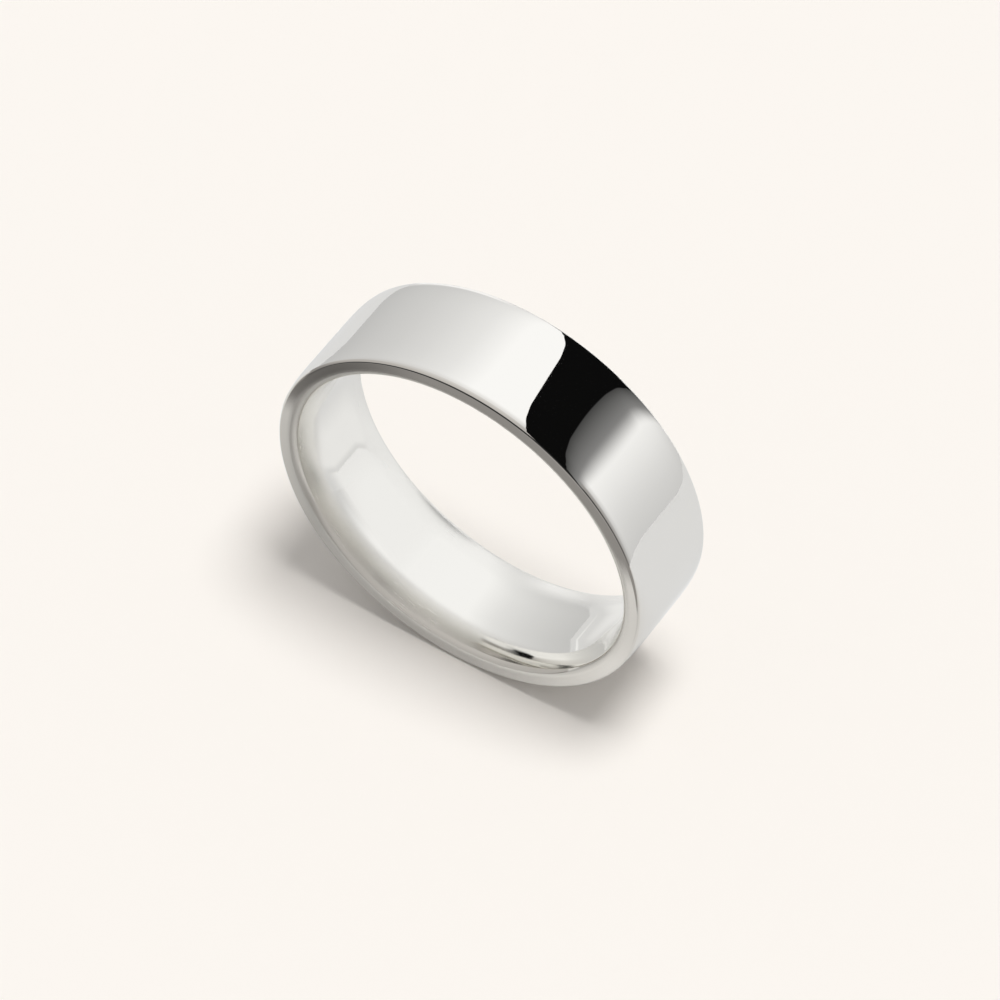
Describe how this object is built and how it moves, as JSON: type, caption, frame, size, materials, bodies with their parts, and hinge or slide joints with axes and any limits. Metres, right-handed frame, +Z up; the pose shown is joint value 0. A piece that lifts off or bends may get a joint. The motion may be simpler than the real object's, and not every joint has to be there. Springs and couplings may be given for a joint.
{
  "type": "wedding band",
  "caption": "Plain polished white-metal finger ring with a flat outside face, softened edges and a comfort-fit bore.",
  "frame": {"origin": "centre of the bore, halfway along the width of the band", "axes": "+Y along the ring's axis, +Z up with the ring standing on its outside face as a wheel does, +X to the right when looking along +Y"},
  "size_m": [0.0212, 0.006, 0.0212],
  "materials": {
    "polished_metal": "mirror polished sterling silver"
  },
  "bodies": {
    "root": {"band": "polished_metal"}
  },
  "joints": []
}
